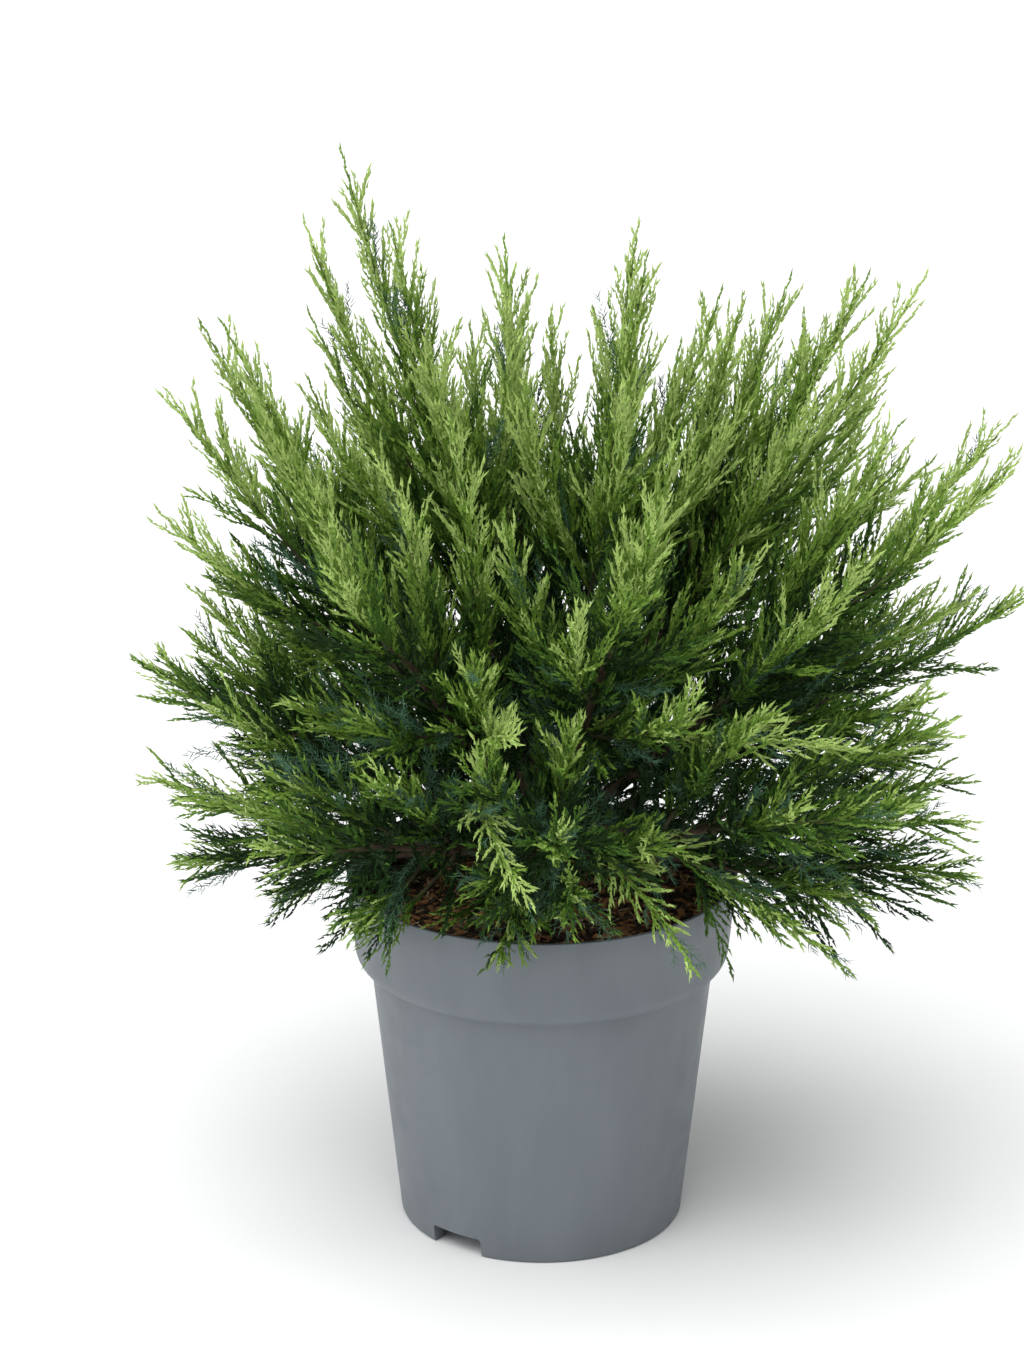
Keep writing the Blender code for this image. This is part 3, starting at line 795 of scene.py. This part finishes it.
def chipCorners(count, sizes, rng):
    # crooked little boxes that lie about on the bed, clear of the stem and of the pot's wall
    half = np.stack([rng.uniform(*size, count) for size in sizes], axis=1) / 2
    angle = rng.uniform(0, math.tau, count)
    r = np.sqrt(rng.uniform(0.0, 1.0, count)) * (soil["edge"] - half[:, 0])
    r = np.maximum(r, soil["stemRoom"])
    x, y = r * np.cos(angle), r * np.sin(angle)
    z = np.array([soilHeight(a, b) for a, b in zip(x, y)]) + rng.uniform(*soil["chipLift"], count)
    spin = rng.uniform(0, math.tau, count)
    tilt = rng.normal(0.0, soil["chipTilt"], (count, 2))
    along = unit(np.stack([np.cos(spin), np.sin(spin), tilt[:, 0]], axis=1))
    leaning = np.stack([tilt[:, 1], np.zeros(count), np.ones(count)], axis=1)
    across = unit(np.cross(leaning, along))
    above = np.cross(along, across)
    box = np.array([(i, j, k) for i in (-1, 1) for j in (-1, 1) for k in (-1, 1)], float)
    offsets = rng.uniform(*soil["chipCorner"], (count, len(box), 3)) * box * half[:, None]
    corners = np.stack([x, y, z], axis=1)[:, None]
    for n, axis in enumerate((along, across, above)):
        corners = corners + offsets[..., n:n + 1] * axis[:, None]
    return corners


def makeSoil():
    bed = addPiece("soilBed", bedShape())
    bed.data.materials.append(bedFinish())
    settle(bed, "potting_mix", "potting_mix")
    sides = np.array([(0, 1, 3, 2), (4, 6, 7, 5), (0, 4, 5, 1), (2, 3, 7, 6), (0, 2, 6, 4), (1, 5, 7, 3)])
    rng = np.random.default_rng(soil["seed"])
    for name, count, *sizes, colour in soil["kinds"]:
        chips = meshFromArrays(name, chipCorners(count, sizes, rng), sides)
        chips.data.materials.append(mottled(name + "Finish", colour, **soil["chipFinish"]))
        settle(chips, "potting_mix", "potting_mix")
    print("potting mix made")


# Foliage: flattened sprays of twiglets, each a chain of small overlapping scale leaves
foliage = {
    "seed": 2000,
    "finerSeed": 5000,
    "arraySeed": 2026,
    "coarseSpacing": 0.049,
    "coarseZone": (0.20, 0.93),
    "coarseJitter": (0.2, 0.8),
    "coarseSizes": (1.0, 0.8, 0.6, 0.4),  # tried in turn until one fits
    "sweep": math.radians(33),
    "rise": 0.30,
    "longest": 0.088,
    "shortest": 0.020,
    "lengthFade": 1.1,
    "width": 0.30,
    "waist": 0.42,
    "fineSpacing": 0.0083,
    "fineZone": (0.02, 0.84),
    "fineSizes": (0.55, 1.12),
    "fineSweep": (10.0, 33.0),
    "fineTurn": 0.3,
    "fineShortest": 0.012,
    "fineOverreach": 1.05,
    "innerSpacing": 0.0030,
    "innerZone": (0.12, 0.62),
    "innerLength": (0.038, 0.086),
    "innerSweep": (28.0, 66.0),
    # the heart's sprays start darkest: their greens are painted shade
    "innerPaintedShade": -0.42,
    "droop": (-0.16, 0.10),
    "lift": 0.10,
    "hang": 0.20,
    "hangBelow": 0.36,
    "twist": 0.18,
    "tipShade": 0.55,
    # higher sprays paler, lower ones darker: partly a real change of green, partly painted light and shade
    "heightTintAndPaintedLight": 0.32,
    "shadeSpread": 0.15,
    "middle": 0.40,
    "blend": 0.15,
    "openBelow": 0.270,
    "openWithin": 0.160,
    "openBetween": (200.0, 345.0),
    "openExcept": (244.0, 272.0),
    "needleShare": 0.20,
    "needleLeast": 0.15,
    "needleBelow": 0.48,
    "needleBlend": 0.2,
    "boxSlack": 0.006,
    "rimGap": 0.0015,
    "rimInset": 0.0055,
    "soilGap": 0.003,
    "collarDrop": 0.01,
    "leaderNormal": (0.3, -0.9, 0.3),
    "leaderShade": (0.30, 0.10),  # mean and spread
    "pieceLimit": 48000,  # leaves of four faces in one piece
    "finish": {"roughness": 0.62, "spread": 0.18, "scale": 60.0},
    "shine": 0.25,
}
plume = {"every": 0.0066, "zone": (0.34, 0.86), "size": 0.050, "tipSize": 0.26, "sweep": 14.0, "flat": False,
         "rise": 0.20, "least": 0.0}
sideTwigs = {"every": 0.0056, "zone": (0.08, 0.95), "size": 0.40, "sweep": 21.0, "flat": True,
             "rise": 0.12, "least": 0.0}
fineTwigs = {"every": 0.0058, "zone": (0.18, 0.88), "size": 0.42, "sweep": 24.0, "flat": True,
             "rise": 0.16, "least": 0.0155}
needleTwigs = dict(sideTwigs, every=0.0062)
leaderLeaf = {"every": 0.0027, "length": 0.0066, "width": 0.00150, "lean": 0.0013, "taper": 0.40,
              "zone": (0.30, 0.99)}
scaleLeaf = {"every": 0.0031, "length": 0.0059, "width": 0.00118, "lean": 0.0013, "taper": 0.35,
             "zone": (0.02, 0.98)}
needleLeaf = {"every": 0.0021, "length": 0.0056, "width": 0.00055, "lean": 0.0040, "taper": 0.35,
              "zone": (0.02, 0.98)}
tints = {
    # share of the leaves, darkest first, and the colour of each; the darkest, which fall on the crown's
    # heart and low sprays, stand in part for painted shade
    "deep": (0.31, (0.012, 0.038, 0.006)),
    "mid": (0.30, (0.055, 0.128, 0.014)),
    "fresh": (0.25, (0.168, 0.290, 0.040)),
    "pale": (0.14, (0.370, 0.510, 0.140)),
}
needleColour = (0.052, 0.122, 0.068)


def bladeLength(share):
    fade = (1.0 - share) ** foliage["lengthFade"]
    return foliage["shortest"] + (foliage["longest"] - foliage["shortest"]) * fade


def coarseSprays(index, curve, draw):
    # the source's blades: the same draws give the same places
    rows = []
    turn = draw.uniform(0.0, math.tau)
    count = max(2, round((curve[2] - curve[0]).length / foliage["coarseSpacing"]))
    first, last = foliage["coarseZone"]
    for n in range(count):
        share = first + (last - first) * (n + draw.uniform(*foliage["coarseJitter"])) / count
        turn += goldenAngle
        root = curvePoint(curve, share)
        heading, flat = sprayHeading(curve, share, turn, foliage["sweep"])
        for size in foliage["coarseSizes"]:
            length = bladeLength(share) * size
            tip = root + heading * length
            half = flat.cross(heading).normalized() * foliage["width"] * length / 2
            waist = root + heading * length * foliage["waist"]
            corners = [root, waist + half, waist - half, tip]
            inside = (tip - limbs["fork"]).length < (curve[2] - limbs["fork"]).length
            if inside and allowed(index, corners, limbs["cellMargin"]):
                rows.append((root, heading, flat, length, share))
                break
    return rows


def sprayHeading(curve, share, turn, sweep):
    ahead = curveHeading(curve, share)
    across = ahead.orthogonal().normalized()
    out = across * math.cos(turn) + ahead.cross(across) * math.sin(turn)
    heading = ahead * math.cos(sweep) + out * math.sin(sweep)
    heading.z += foliage["rise"] * max(0.0, ahead.z)
    heading.normalize()
    return heading, heading.cross(ahead.cross(out)).normalized()


def fineSprays(curve, draw):
    # finer sprays between them, hardly past the leader's own reach
    rows = []
    turn = draw.uniform(0.0, math.tau)
    count = max(3, round((curve[2] - curve[0]).length / foliage["fineSpacing"]))
    first, last = foliage["fineZone"]
    reach = (curve[2] - limbs["fork"]).length
    for n in range(count):
        share = first + (last - first) * (n + draw.random()) / count
        turn += goldenAngle + draw.uniform(-foliage["fineTurn"], foliage["fineTurn"])
        root = curvePoint(curve, share)
        heading, flat = sprayHeading(curve, share, turn, math.radians(draw.uniform(*foliage["fineSweep"])))
        length = bladeLength(share) * draw.uniform(*foliage["fineSizes"])
        room = reach - (root - limbs["fork"]).length
        length = min(length, max(foliage["fineShortest"], room * foliage["fineOverreach"]))
        rows.append((root, heading, flat, length, share))
    return rows


def innerSprays(index, draw):
    # sprays round the bough itself, which close the heart of the crown; they are given the darkest greens as
    # painted shade
    own, fork, reach = boughDirections[index], limbs["fork"], boughReach(index)
    curve = (fork, fork + own * reach / 2, fork + own * reach)
    first, last = foliage["innerZone"]
    count = round(reach * (last - first) / foliage["innerSpacing"])
    turn = draw.uniform(0.0, math.tau)
    rows = []
    for n in range(count):
        along = reach * (first + (last - first) * (n + draw.random()) / count)
        turn += goldenAngle
        sweep = math.radians(draw.uniform(*foliage["innerSweep"]))
        heading, flat = sprayHeading(curve, 0.5, turn, sweep)
        length = draw.uniform(*foliage["innerLength"])
        rows.append((fork + own * along, heading, flat, length, foliage["innerPaintedShade"]))
    return rows


def leavesSoilOpen(row):
    # a spray has to clear the pot, and the potting mix stays in view at the front, but for one
    # stretch where sprays hang over the rim
    root, heading, _, length, _ = row
    tip = root + heading * length
    if not clearLine(root, tip):
        return False
    azimuth = math.degrees(math.atan2(tip.y, tip.x)) % 360.0
    front, keep = foliage["openBetween"], foliage["openExcept"]
    if not front[0] < azimuth < front[1] or keep[0] < azimuth < keep[1]:
        return True
    return math.hypot(tip.x, tip.y) > foliage["openWithin"] or tip.z > foliage["openBelow"]


# Young shoots that nod out of the front of the crown, paler than the rest
shoots = {
    "curves": (
        # start, middle, end
        ((-0.035, -0.075, 0.330), (-0.050, -0.175, 0.345), (-0.005, -0.238, 0.300)),
        ((-0.030, -0.085, 0.345), (-0.040, -0.170, 0.385), (-0.015, -0.225, 0.400)),
        ((0.005, -0.060, 0.290), (0.045, -0.160, 0.305), (0.090, -0.232, 0.255)),
        ((0.020, -0.055, 0.285), (0.090, -0.130, 0.300), (0.185, -0.185, 0.235)),
        ((0.040, -0.050, 0.330), (0.110, -0.140, 0.375), (0.190, -0.165, 0.370)),
        ((-0.020, -0.050, 0.262), (-0.022, -0.105, 0.285), (-0.012, -0.150, 0.228)),
    ),
    "seed": 9000,
    "spacing": 0.0065,
    "zone": (0.22, 0.96),
    "turn": 0.7,
    "sweep": (24.0, 40.0),
    "sizes": (0.32, 0.62),
    "shade": 1.42,
    "twigSteps": 9,
    "twigRadius": 0.0014,
    "twigNarrowing": 0.00108,
}


def shootSprays(curve, draw):
    # two rows, one on either side of the shoot
    rows = []
    turn = draw.uniform(0.0, math.tau)
    count = round((curve[2] - curve[0]).length / shoots["spacing"])
    first, last = shoots["zone"]
    for n in range(count):
        share = first + (last - first) * (n + draw.random()) / count
        turn += math.pi + draw.uniform(-shoots["turn"], shoots["turn"])
        heading, flat = sprayHeading(curve, share, turn, math.radians(draw.uniform(*shoots["sweep"])))
        size = bladeLength(share) * draw.uniform(*shoots["sizes"])
        rows.append((curvePoint(curve, share), heading, flat, size, shoots["shade"]))
    return rows


def leaderTwig(curve):
    # thinner than the source's leader, so that its own leaves hide it
    steps = [limbs["twigEnd"] * n / limbs["twigSteps"] for n in range(limbs["twigSteps"] + 1)]
    thick, thin = limbs["twigRadius"], limbs["twigTipRadius"]
    radii = [thin + (thick - thin) * (1.0 - step) ** limbs["twigTaper"] for step in steps]
    return [curvePoint(curve, step) for step in steps], radii


def shootTwig(curve):
    steps = [n / shoots["twigSteps"] for n in range(shoots["twigSteps"])]
    radii = [shoots["twigRadius"] - shoots["twigNarrowing"] * step for step in steps]
    return [curvePoint(curve, step) for step in steps], radii


# Twigs and leaves as arrays: a twig has a root, an axis, a bend, a normal, a length and a shade,
# which is paler the higher its value
growth = {
    "placeJitter": (0.15, 0.85),
    "flatTurn": 0.42,
    "roundTurn": 0.4,
    "tipFade": 0.75,
    "rootSize": 0.12,
    "rootFade": 0.36,
    "shortest": 0.0035,
    "sizeJitter": (0.78, 1.18),
    "sweepSpread": 6.0,
    "bendAhead": 0.16,
    "bendUp": 0.05,
    "twist": 0.1,
    "tipShade": 0.16,
    "shadeSpread": 0.05,
    "leafTurn": 0.25,
    "leafWidths": (0.85, 1.15),
    "leafTaper": 0.3,  # of its length, as a share of its width's
    "leafTipShade": 0.34,
}


def sprayArrays(rows, rng):
    # low sprays hang and the others lift a little; the tips are paler, and higher sprays are paler and lower
    # ones darker, partly a real change of green and partly painted light and shade
    roots, headings, flats, lengths, shares = zip(*rows)
    roots, lengths = stacked(roots), np.array(lengths)
    droop = rng.uniform(*foliage["droop"], len(rows))
    low = np.clip((foliage["hangBelow"] - roots[:, 2]) / foliage["blend"], 0.0, 1.0)
    bend = np.zeros((len(rows), 3))
    bend[:, 2] = (droop + foliage["lift"] - foliage["hang"] * low) * lengths
    normals = unit(stacked(flats) + rng.normal(0.0, foliage["twist"], (len(rows), 3)))
    height = np.clip((roots[:, 2] - foliage["middle"]) / foliage["blend"], -1.0, 1.0)
    shade = np.array(shares) * foliage["tipShade"] + rng.normal(0.0, foliage["shadeSpread"], len(rows))
    return {
        "root": roots,
        "axis": stacked(headings) * lengths[:, None],
        "bend": bend,
        "normal": normals,
        "length": lengths,
        "shade": shade + foliage["heightTintAndPaintedLight"] * height,
    }


def leaderArrays(curves, rng):
    ends = np.array([stacked(curve) for curve in curves])
    return {
        "root": ends[:, 0],
        "axis": 2.0 * (ends[:, 1] - ends[:, 0]),
        "bend": ends[:, 0] - 2.0 * ends[:, 1] + ends[:, 2],
        "normal": np.tile(foliage["leaderNormal"], (len(ends), 1)),
        "length": np.linalg.norm(ends[:, 2] - ends[:, 0], axis=1),
        "shade": rng.normal(*foliage["leaderShade"], len(ends)),
    }


def pick(twigs, mask):
    return {key: value[mask] for key, value in twigs.items()}


def pointAt(twigs, owner, share):
    share = share[:, None]
    point = twigs["root"][owner] + twigs["axis"][owner] * share + twigs["bend"][owner] * share**2
    return point, unit(twigs["axis"][owner] + 2.0 * twigs["bend"][owner] * share)


def spread(twigs, every, zone):
    # for each thing on the twigs: its twig, its order on that twig and how many the twig has
    count = np.maximum(1, np.round(twigs["length"] * (zone[1] - zone[0]) / every).astype(int))
    owner = np.repeat(np.arange(len(count)), count)
    order = np.arange(len(owner)) - np.repeat(np.cumsum(count) - count, count)
    return owner, order, count[owner]


def grow(parents, rule, rng):
    # smaller twigs along each parent, in two flat rows or all round it
    parents = pick(parents, parents["length"] > rule["least"])
    owner, order, count = spread(parents, rule["every"], rule["zone"])
    first, last = rule["zone"]
    share = first + (last - first) * (order + rng.uniform(*growth["placeJitter"], len(owner))) / count
    root, ahead = pointAt(parents, owner, share)
    across = unit(np.cross(parents["normal"][owner], ahead))
    above = np.cross(ahead, across)
    if rule["flat"]:
        phase = math.pi * order + rng.normal(0.0, growth["flatTurn"], len(owner))
        size = rule["size"] * parents["length"][owner] * (1.0 - share) ** growth["tipFade"]
        size = size * np.minimum(1.0, (share + growth["rootSize"]) / growth["rootFade"])
    else:
        phase = goldenAngle * order + rng.uniform(-growth["roundTurn"], growth["roundTurn"], len(owner))
        size = rule["size"] * (1.0 - (1.0 - rule["tipSize"]) * (share - first) / (last - first))
    size = np.maximum(growth["shortest"], size * rng.uniform(*growth["sizeJitter"], len(owner)))
    out = across * np.cos(phase)[:, None] + above * np.sin(phase)[:, None]
    sweep = np.radians(rng.normal(rule["sweep"], growth["sweepSpread"], len(owner)))[:, None]
    heading = ahead * np.cos(sweep) + out * np.sin(sweep)
    heading[:, 2] += rule["rise"] * np.maximum(0.0, ahead[:, 2])
    heading = unit(heading)
    twist = rng.normal(0.0, growth["twist"], heading.shape)
    lighter = growth["tipShade"] * share + rng.normal(0.0, growth["shadeSpread"], len(owner))
    return {
        "root": root,
        "axis": heading * size[:, None],
        "bend": (ahead * growth["bendAhead"] + growth["bendUp"] * np.array(up)) * size[:, None],
        "normal": unit(np.cross(heading, np.cross(above, heading)) + twist),
        "length": size,
        "shade": parents["shade"][owner] + lighter,
    }


def leaves(twigs, rule, rng):
    # closed leaves of four faces, each a quarter turn on from the last and leaning out from its twig
    first, last = rule["zone"]
    owner, order, count = spread(twigs, rule["every"], rule["zone"])
    share = first + (last - first) * (order + 0.5) / count
    centre, ahead = pointAt(twigs, owner, share)
    across = unit(np.cross(twigs["normal"][owner], ahead))
    above = np.cross(ahead, across)
    phase = math.pi / 2 * order + rng.normal(0.0, growth["leafTurn"], len(owner))
    out = across * np.cos(phase)[:, None] + above * np.sin(phase)[:, None]
    side = np.cross(ahead, out)
    width = rule["width"] * (1.0 - rule["taper"] * share) * rng.uniform(*growth["leafWidths"], len(owner))
    length = rule["length"] * (1.0 - growth["leafTaper"] * rule["taper"] * share)
    corners = []
    for angle in (0.0, math.tau / 3, -math.tau / 3):
        corners.append(centre + (out * math.cos(angle) + side * math.sin(angle)) * width[:, None])
    corners.append(centre + ahead * length[:, None] + out * rule["lean"])
    return np.stack(corners, axis=1), twigs["shade"][owner] + growth["leafTipShade"] * share


def withinReach(verts):
    # clear of the pot and the potting mix, and inside the solids' own box
    low = np.array(cadBox[0]) - foliage["boxSlack"]
    high = np.array(cadBox[1]) + foliage["boxSlack"]
    inside = np.all((verts > low) & (verts < high), axis=(1, 2))
    z = verts[..., 2].min(axis=1)
    across = np.hypot(verts[..., 0], verts[..., 1])
    gap, rim = foliage["rimGap"], pot["rimRadius"]
    over = z > pot["height"] + gap
    outside = (across.min(axis=1) > rim + gap) & (z > pot["collarFootHeight"] - foliage["collarDrop"])
    hollow = (across.max(axis=1) < rim - foliage["rimInset"]) & (z > soil["level"] + foliage["soilGap"])
    return inside & (over | outside | hollow)


def rooted(twigs):
    # twigs that start and end clear of the pot
    share = np.ones(len(twigs["length"]))
    tips, _ = pointAt(twigs, np.arange(len(share)), share)
    return pick(twigs, withinReach(twigs["root"][:, None]) & withinReach(tips[:, None]))


def addLeaves(name, verts, colour, masses):
    faces = np.array([(0, 2, 1), (0, 1, 3), (1, 2, 3), (2, 0, 3)])
    parts = math.ceil(len(verts) / foliage["pieceLimit"])
    material = mottled(name + "Finish", colour, **foliage["finish"])
    shader = material.node_tree.nodes["Principled BSDF"]
    shader.inputs["Specular IOR Level"].default_value = foliage["shine"]
    for part, chunk in enumerate(np.array_split(verts, parts)):
        piece = meshFromArrays(name + str(part + 1), chunk, faces)
        piece.data.materials.append(material)
        settle(piece, "foliage", *masses)


def gatherSprays():
    # the rows of all sprays, the curves that carry them and the paths of their twigs
    rows, curves, paths = [], [], []
    for index in range(len(limbs["boughs"])):
        draw = random.Random(foliage["seed"] + index)
        finer = random.Random(foliage["finerSeed"] + index)
        rows += filter(leavesSoilOpen, innerSprays(index, finer))
        for curve in leaderCurves(index):
            rows += coarseSprays(index, curve, draw)
            rows += filter(leavesSoilOpen, fineSprays(curve, finer))
            curves.append(curve)
            paths.append(leaderTwig(curve))
    for number, corners in enumerate(shoots["curves"]):
        curve = tuple(map(Vector, corners))
        draw = random.Random(shoots["seed"] + number)
        rows += filter(leavesSoilOpen, shootSprays(curve, draw))
        curves.append(curve)
        paths.append(shootTwig(curve))
    return rows, curves, paths


def makeTwigs(paths, masses):
    twigs = addPiece("twigs", tubes("twigs", paths, limbs["twigSides"]))
    twigs.data.shade_smooth()
    twigs.data.materials.append(mottled("twigFinish", **limbs["twigFinish"]))
    settle(twigs, "bark", *masses)


def makeFoliage():
    masses = ["mass_" + row[0] for row in limbs["boughs"]]
    rows, curves, paths = gatherSprays()
    makeTwigs(paths, masses)
    rng = np.random.default_rng(foliage["arraySeed"])
    leaders = leaderArrays(curves, rng)
    sprays = sprayArrays(rows, rng)
    # needle sprays are commoner low down
    low = (foliage["needleBelow"] - sprays["root"][:, 2]) / foliage["needleBlend"]
    chance = foliage["needleShare"] * np.clip(low, foliage["needleLeast"], 1.0)
    needled = rng.random(len(rows)) < chance
    scaled, prickly = pick(sprays, ~needled), pick(sprays, needled)
    plumes = rooted(grow(leaders, plume, rng))
    sets = [leaves(leaders, leaderLeaf, rng), leaves(plumes, scaleLeaf, rng)]
    side = rooted(grow(scaled, sideTwigs, rng))
    fine = rooted(grow(side, fineTwigs, rng))
    sets += [leaves(group, scaleLeaf, rng) for group in (scaled, side, fine)]
    verts = np.concatenate([group[0] for group in sets])
    shade = np.concatenate([group[1] for group in sets])
    kept = withinReach(verts)
    verts, shade = verts[kept], shade[kept]
    # dealt out by shade, each tint its share
    edges = np.quantile(shade, np.cumsum([share for share, _ in tints.values()])[:-1])
    band = np.searchsorted(edges, shade)
    for n, (name, (_, colour)) in enumerate(tints.items()):
        addLeaves("leaves" + name.title(), verts[band == n], colour, masses)
    bristles = rooted(grow(prickly, needleTwigs, rng))
    needles = np.concatenate([leaves(group, needleLeaf, rng)[0] for group in (prickly, bristles)])
    needles = needles[withinReach(needles)]
    addLeaves("needles", needles, needleColour, masses)
    print("foliage made", len(rows), "sprays", len(verts), "scale leaves", len(needles), "needles")


makeCamera()
makeStudio()
makePot()
makeSoil()
makeBark()
makeFoliage()
